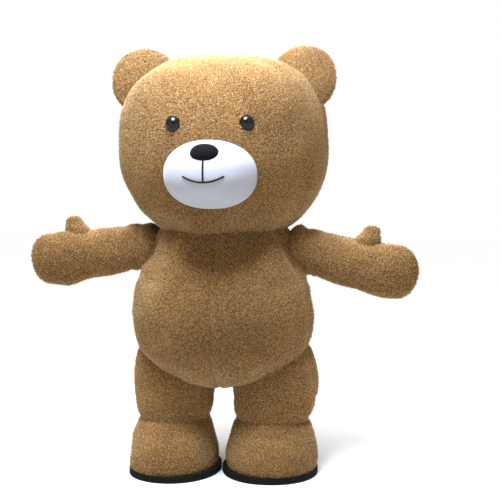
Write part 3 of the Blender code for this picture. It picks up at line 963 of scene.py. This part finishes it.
legRow = namedtuple("legRow", "height inner rightOuter leftOuter halfDepth centreY")
ankleHeight = 0.240
ankleCreases = [
    crease(facing, start, ankleHeight, end, ankleHeight, 0.014, 0.006)
    for facing, start, end in (("front", 0.050, 0.420), ("back", 0.050, 0.420),
                               ("left", -0.200, 0.180), ("right", -0.200, 0.180))
]
leg = {
    "power": 2.15,
    "columns": 64,
    "rowSteps": 4,
    "rows": [
        legRow(0.600, 0.062, 0.388, 0.392, 0.160, 0.010),
        legRow(0.540, 0.052, 0.414, 0.426, 0.186, 0.006),
        legRow(0.470, 0.045, 0.427, 0.444, 0.198, 0.002),
        legRow(0.400, 0.044, 0.430, 0.447, 0.198, 0.000),
        legRow(0.320, 0.047, 0.424, 0.436, 0.192, -0.004),
        legRow(ankleHeight, 0.062, 0.403, 0.406, 0.176, -0.010),
    ],
    "flat": (1.26, 0.30),
    "creases": [
        crease("front", 0.110, 0.318, 0.300, 0.292, 0.018, 0.009),
        crease("front", 0.240, 0.375, 0.400, 0.392, 0.020, 0.007),
        crease("back", 0.110, 0.420, 0.330, 0.395, 0.022, 0.014),
        crease("back", 0.150, 0.320, 0.380, 0.345, 0.020, 0.010),
        crease("left", -0.120, 0.350, 0.060, 0.325, 0.018, 0.009),
        crease("right", -0.080, 0.330, 0.110, 0.362, 0.018, 0.009),
        *ankleCreases,
    ],
}


def sideSizes(row, side):
    outer = row.leftOuter if side > 0 else row.rightOuter
    return side * (row.inner + outer) / 2, (outer - row.inner) / 2


def shapeLeg(side):
    outline = roundOutline(leg["power"], leg["columns"])
    lowest = ankleHeight + suit["seamGap"] / 2
    rings = []
    for row in smoothRows(leg["rows"], leg["rowSteps"]):
        centreX, halfWidth = sideSizes(row, side)
        rings.append(levelRing(outline, max(row.height, lowest), centreX, row.centreY,
                               halfWidth, row.halfDepth))
    return drawnIn(uneven(np.array(rings)), leg["creases"], side)


# The boots and their soles

bootRow = namedtuple("bootRow", "height inner rightOuter leftOuter halfLength centreY")
soleStep = namedtuple("soleStep", "level inset")
soleThickness = 0.030
boot = {
    "power": 2.08,
    "columns": 76,
    "rowSteps": 3,
    "turn": radians(8),
    "forward": {"left": 0.000, "right": 0.036},
    "rows": [
        bootRow(ankleHeight, 0.062, 0.403, 0.406, 0.176, -0.010),
        bootRow(0.205, 0.050, 0.410, 0.421, 0.196, -0.020),
        bootRow(0.160, 0.034, 0.420, 0.436, 0.222, -0.036),
        bootRow(0.110, 0.021, 0.423, 0.446, 0.240, -0.048),
        bootRow(0.065, 0.017, 0.425, 0.449, 0.248, -0.054),
        bootRow(soleThickness, 0.022, 0.420, 0.444, 0.245, -0.056),
    ],
    "flat": (1.46, 0.25),
    "creases": [
        crease("front", 0.110, 0.205, 0.260, 0.188, 0.016, 0.007),
        crease("front", 0.250, 0.180, 0.380, 0.204, 0.018, 0.007),
        crease("back", 0.130, 0.160, 0.340, 0.135, 0.020, 0.010),
        *ankleCreases,
    ],
}
sole = {
    "inner": 0.004,
    "margin": 0.003,
    "steps": [
        soleStep(0.0300, 0.0006),
        soleStep(0.0292, 0.0000),
        soleStep(0.0205, 0.0000),
        soleStep(0.0197, 0.0016),
        soleStep(0.0178, 0.0016),
        soleStep(0.0170, 0.0000),
        soleStep(0.0040, 0.0000),
        soleStep(0.0012, 0.0014),
        soleStep(0.0000, 0.0040),
    ],
}


def bootRing(outline, row, word, side, level, inner=0.0, margin=0.0):
    # a boot turns out and stands forward more the lower it is
    centreX, halfWidth = sideSizes(row, side)
    share = (ankleHeight - row.height) / (ankleHeight - soleThickness)
    centreX += side * (margin - inner) / 2
    return levelRing(outline, level, centreX, row.centreY - boot["forward"][word] * share,
                     halfWidth + (margin + inner) / 2, row.halfLength + margin,
                     side * boot["turn"] * share)


def shapeBoot(word, side):
    outline = roundOutline(boot["power"], boot["columns"])
    bottom = soleThickness + suit["seamGap"]
    top = ankleHeight - suit["seamGap"] / 2
    rings = [bootRing(outline, row, word, side, min(max(row.height, bottom), top))
             for row in smoothRows(boot["rows"], boot["rowSteps"])]
    return drawnIn(uneven(np.array(rings), soleThickness), boot["creases"], side)


def shapeSole(word, side):
    outline = roundOutline(boot["power"], boot["columns"])
    row = boot["rows"][-1]
    inner = row.inner - sole["inner"]
    return np.array([bootRing(outline, row, word, side, step.level, inner - step.inset,
                              sole["margin"] - step.inset) for step in sole["steps"]])


# The ears and the face

ear = {
    "centre": (0.373, -0.015, 1.816),
    "half": (0.163, 0.055, 0.163),
    "power": 2.15,
    "turn": radians(6),
    "lean": radians(-8),
    "slack": 0.007,  # how much thinner each side of the cover is before it is stuffed
    "columns": 56,
    "rings": 12,
    "fill": 0.8,
}
muzzle = {
    "centre": (0, -0.345, 1.370),
    "half": (0.205, 0.215, 0.150),
    "power": 2.2,
    "columns": 128,
    "rings": 30,
    "fill": 0.85,
}
nose = {
    "centre": (0, -0.512, 1.448),
    "half": (0.062, 0.048, 0.044),
    "power": 2.2,
    "columns": 64,
    "rings": 16,
    "fill": 0.9,
}
eye = {
    "centre": (0.158, -0.387, 1.585),
    "half": (0.035, 0.033, 0.036),
    "power": roundPower,
    "columns": 48,
    "rings": 14,
}
mouth = {
    "thickness": 0.008,
    "sunk": 0.2,
    "top": 1.430,
    "smileMiddle": 1.330,
    "smileHalfWidth": 0.088,
    "smileRise": 0.026,
    "smileSteps": 88,
    "uprightSteps": 44,
    "columns": 12,
    "strands": 2,
    "strandDepth": 0.10,
    "twistEvery": 0.012,
    "endShares": (0.55, 0.88),  # how thick the last two points of an end are
}


def shapePad(look, side=1):
    x, y, z = look["centre"]
    halfHeight = look["half"][2]
    return roundBlock((side * x, y, z), look["half"], halfHeight, halfHeight,
                      look["power"], look["power"], look["power"], look["columns"], look["rings"])


def shapeEar(side):
    # a stuffed disc, leaned back and turned to follow the head
    halfWidth, halfDepth, halfHeight = ear["half"]
    thinEar = dict(ear, centre=(0, 0, 0), half=(halfWidth, halfDepth - ear["slack"], halfHeight))
    rings = movedOut(shapePad(thinEar), -suit["pileHeight"])
    rings = tucked(rings, (0, ear["columns"] // 2))
    place = Matrix.Rotation(-side * ear["turn"], 3, "Z") @ Matrix.Rotation(ear["lean"], 3, "X")
    x, y, z = ear["centre"]
    return rings @ np.array(place).T + np.array((side * x, y, z))


def muzzleFront(x, z):
    share = (abs(x) / muzzle["half"][0]) ** muzzle["power"]
    share += (abs(z - muzzle["centre"][2]) / muzzle["half"][2]) ** muzzle["power"]
    return muzzle["centre"][1] - muzzle["half"][1] * (1 - min(share, 1)) ** (1 / muzzle["power"])


def shapeCord(path):
    # a twisted cord of two strands along a line on the muzzle
    sunkIn = mouth["thickness"] * (0.5 - mouth["sunk"])
    points = [Vector((x, muzzleFront(x, z) - sunkIn, z)) for x, z in path]
    rings = []
    run = 0
    for n, point in enumerate(points):
        before, after = points[max(n - 1, 0)], points[min(n + 1, len(points) - 1)]
        ahead = after - before
        run += (point - before).length
        across = ahead.cross(Vector((0, 1, 0))).normalized()
        out = across.cross(ahead).normalized()
        radius = mouth["thickness"] / 2
        fromEnd = min(n, len(points) - 1 - n)
        if fromEnd < len(mouth["endShares"]):
            radius *= mouth["endShares"][fromEnd]
        ring = []
        for k in range(mouth["columns"]):
            turn = 2 * pi * k / mouth["columns"]
            wave = cos(mouth["strands"] * (turn - 2 * pi * run / mouth["twistEvery"] / mouth["strands"]))
            size = radius * (1 - mouth["strandDepth"] * (1 - wave) / 2)
            ring.append(tuple(point + (across * cos(turn) + out * sin(turn)) * size))
        rings.append(ring)
    return np.array(rings)


# Sewing the costume together

cutters = []
wall = suit["clothWall"]
clearance = suit["seamGap"] - suit["pileHeight"]  # a cutter just outside the cloth


def cutterFor(name, rings, distance):
    made = makeCutter(name, movedOut(rings, distance))
    cutters.append(made)
    return made


headShape = shapeHead()
bodyShape = shapeBody()
headClear = cutterFor("head clearance", headShape, clearance)
bodyClear = cutterFor("body clearance", bodyShape, clearance)

halfTurn = head["columns"] // 2
headLayers = clothLayers(headShape, suit["headWall"], (0, halfTurn))
for node, first in (("head_back", 0), ("head_front", halfTurn)):
    cloth = sewPiece(f"{node}_cloth", *headLayers, first, first + halfTurn)
    finishCloth(cutAway(cloth, bodyClear))
print("The head is sewn")

sleeveHollows = {}
legHollows = {}
for word, side in sides:
    sleeveShape = shapeSleeve(side)
    thumbShape = shapeThumb(word, side)
    sleeveHollows[word] = cutterFor(f"sleeve hollow {word}", sleeveShape, -wall)
    sleeveClear = cutterFor(f"sleeve clearance {word}", sleeveShape, clearance)
    thumbHollow = cutterFor(f"thumb hollow {word}", thumbShape, -wall)
    over = sleeve["columns"] // 2
    sleeveLayers = clothLayers(sleeveShape, wall, (0, over))
    for place, first in (("back", 0), ("front", over)):
        cloth = sewPiece(f"sleeve_{word}_{place}_cloth", *sleeveLayers, first, first + over)
        finishCloth(cutAway(cloth, bodyClear, thumbHollow))
    cloth = sewPiece(f"thumb_{word}_cloth", *clothLayers(thumbShape, wall))
    finishCloth(cutAway(cloth, sleeveClear))
print("The sleeves, mittens and thumbs are sewn")

for word, side in sides:
    legShape = shapeLeg(side)
    legHollows[word] = cutterFor(f"leg hollow {word}", legShape, -wall)
    cloth = sewPiece(f"leg_{word}_cloth", *clothLayers(legShape, wall, (leg["columns"] // 2,)))
    finishCloth(cutAway(cloth, bodyClear))
    bootShape = shapeBoot(word, side)
    cloth = sewPiece(f"boot_{word}_cloth", *clothLayers(bootShape, wall))
    finishCloth(cloth)
    rubber = fillBlock(f"sole_{word}_rubber", shapeSole(word, side), ("rubber",))
    rubber.data.set_sharp_from_angle(angle=suit["sharpEdge"])
    finishBlock(rubber, f"sole_{word}")
print("The legs and boots are sewn")

quarter = body["columns"] // 4
bodyLayers = clothLayers(bodyShape, wall, range(0, body["columns"], quarter))
bodyPanels = (("back", "left"), ("back", "right"), ("front", "right"), ("front", "left"))
for number, (place, word) in enumerate(bodyPanels):
    cloth = sewPiece(f"body_{place}_{word}_cloth", *bodyLayers, number * quarter,
                     (number + 1) * quarter, body["bareAbove"])
    finishCloth(cutAway(cloth, sleeveHollows[word], legHollows[word]))
print("The body is sewn")

for word, side in sides:
    earShape = shapeEar(side)
    earPad = fillBlock(f"ear_{word}_pad", earShape, ("plush", "backing"))
    seam = earShape[:, (0, ear["columns"] // 2)].reshape(-1, 3)
    stuffed(earPad, seam + np.array((0, 0, floorLevel)))
    cutAway(earPad, headClear)
    finishBlock(earPad, f"ear_{word}")
    growPile(earPad)
    button = fillBlock(f"eye_{word}_dome", shapePad(eye, side), ("eye", "eye"))
    cutAway(button, headClear)
    finishBlock(button, f"eye_{word}")
print("The ears and eyes are on")

muzzleShape = shapePad(muzzle)
muzzleClear = cutterFor("muzzle clearance", muzzleShape, suit["seamGap"])
muzzlePad = cutAway(fillBlock("muzzle_pad", muzzleShape, ("white", "backing")), headClear)
finishBlock(muzzlePad, "muzzle")

noseShape = shapePad(nose)
noseClear = cutterFor("nose clearance", noseShape, suit["seamGap"])
nosePad = cutAway(fillBlock("nose_pad", noseShape, ("felt", "backing")), muzzleClear)
finishBlock(nosePad, "nose")

smile = []
for k in range(mouth["smileSteps"] + 1):
    share = 2 * k / mouth["smileSteps"] - 1
    smile.append((mouth["smileHalfWidth"] * share, mouth["smileMiddle"] + mouth["smileRise"] * share**2))
lowest = mouth["smileMiddle"] + mouth["thickness"] / 2 + suit["seamGap"]
fall = (mouth["top"] - lowest) / mouth["uprightSteps"]
upright = [(0, mouth["top"] - fall * k) for k in range(mouth["uprightSteps"] + 1)]
smileCord = cutAway(fillBlock("mouth_smile_cord", shapeCord(smile), ("cord", "cord")), muzzleClear)
finishBlock(smileCord, "mouth_smile")
uprightCord = fillBlock("mouth_upright_cord", shapeCord(upright), ("cord", "cord"))
cutAway(uprightCord, muzzleClear, noseClear)
finishBlock(uprightCord, "mouth_upright")
print("The muzzle, nose and mouth are on")

for helper in cutters + list(tufts.objects):
    bpy.data.objects.remove(helper)
bpy.data.collections.remove(tufts)


# The floor, the lights and the camera

studio = {
    "floorSize": 60.0,
    "floorColour": (0.90, 0.94, 0.985),
    "floorShader": {"Roughness": 0.9},
    "speckScale": 30.0,
    "speckShade": 0.97,
    "roomColour": (1.0, 0.85, 0.67),
    "seenColour": (1.0, 1.0, 1.0),
    "roomLight": 0.38,
    "roomSeen": 1.0,
    "sunPower": 2.6,
    "sunColour": (0.97, 0.98, 1.0),
    "sunSoftness": radians(50),
    "sunTurn": (radians(12), radians(-4), 0),
}
softLight = namedtuple("softLight", "name place aim size spread power colour")
softLights = [
    softLight("overhead", (-0.12, -1.22, 2.0), (0, -0.26, 0.60), 1.1, radians(80), 30, (0.86, 0.97, 1.14)),
    softLight("left front", (-2.8, -3.2, 1.6), (0, 0, 0), 2.0, pi, 11, (1.0, 0.90, 0.78)),
    softLight("right front", (3.2, -3.0, 1.4), (0, 0, 0), 2.0, pi, 5, (1.0, 0.90, 0.78)),
    softLight("back", (0.9, 3.4, 2.4), (0, 0, 0), 2.0, pi, 50, (0.98, 0.99, 1.0)),
]
view = {
    "distance": 4.5,
    "turn": radians(9),
    "height": 0.07,
    "tilt": radians(-2.87),
    "heading": radians(7.44),
    "lens": 68.9,
    "sensor": 36.0,
}


def makeFloor():
    half = studio["floorSize"] / 2
    mesh = bpy.data.meshes.new("studio_floor")
    corners = [(-half, -half), (half, -half), (half, half), (-half, half)]
    mesh.from_pydata([(x, y, floorLevel) for x, y in corners], [], [(0, 1, 2, 3)])
    floor = bpy.data.objects.new("studio_floor", mesh)
    bpy.context.collection.objects.link(floor)
    pale, tree, shader, place = startMaterial("pale_floor", studio["floorShader"])
    speck = noiseNode(tree, place, studio["speckScale"])
    dark = tuple(studio["speckShade"] * part for part in studio["floorColour"])
    stops = list(zip(noiseRange, (dark, studio["floorColour"])))
    tree.links.new(rampNode(tree, speck, stops), shader.inputs["Base Color"])
    mesh.materials.append(pale)


def makeRoom():
    # warm light from all round, and white where the camera sees past the floor
    world = bpy.data.worlds.new("pale room")
    world.use_nodes = True
    tree = world.node_tree
    lit = tree.nodes["Background"]
    seen = addNode(tree, "ShaderNodeBackground")
    for air, colour, strength in ((lit, "roomColour", "roomLight"), (seen, "seenColour", "roomSeen")):
        air.inputs["Color"].default_value = (*studio[colour], 1)
        air.inputs["Strength"].default_value = studio[strength]
    path = addNode(tree, "ShaderNodeLightPath")
    mix = addNode(tree, "ShaderNodeMixShader")
    tree.links.new(path.outputs["Is Camera Ray"], mix.inputs["Fac"])
    tree.links.new(lit.outputs["Background"], mix.inputs[1])
    tree.links.new(seen.outputs["Background"], mix.inputs[2])
    tree.links.new(mix.outputs["Shader"], tree.nodes["World Output"].inputs["Surface"])
    bpy.context.scene.world = world
    bpy.context.scene.view_settings.view_transform = "Standard"


def makeLamps():
    sun = bpy.data.lights.new("sky", "SUN")
    sun.energy = studio["sunPower"]
    sun.color = studio["sunColour"]
    sun.angle = studio["sunSoftness"]
    sky = bpy.data.objects.new("sky", sun)
    sky.rotation_euler = studio["sunTurn"]
    bpy.context.collection.objects.link(sky)
    for row in softLights:
        light = bpy.data.lights.new(row.name, "AREA")
        light.shape = "DISK"
        light.size = row.size
        light.spread = row.spread
        light.energy = row.power
        light.color = row.colour
        lamp = bpy.data.objects.new(row.name, light)
        lamp.location = row.place
        lamp.rotation_euler = (Vector(row.aim) - lamp.location).to_track_quat("-Z", "Y").to_euler()
        bpy.context.collection.objects.link(lamp)


def makeCamera():
    lens = bpy.data.cameras.new("camera")
    lens.sensor_width = view["sensor"]
    lens.lens = view["lens"]
    camera = bpy.data.objects.new("camera", lens)
    camera.location = (view["distance"] * sin(view["turn"]), -view["distance"] * cos(view["turn"]),
                       view["height"])
    camera.rotation_euler = Euler((pi / 2 + view["tilt"], 0, view["heading"]))
    bpy.context.collection.objects.link(camera)
    bpy.context.scene.camera = camera


makeFloor()
makeRoom()
makeLamps()
makeCamera()
print("The room is lit, and the pile has", pileCount["triangles"], "triangles")
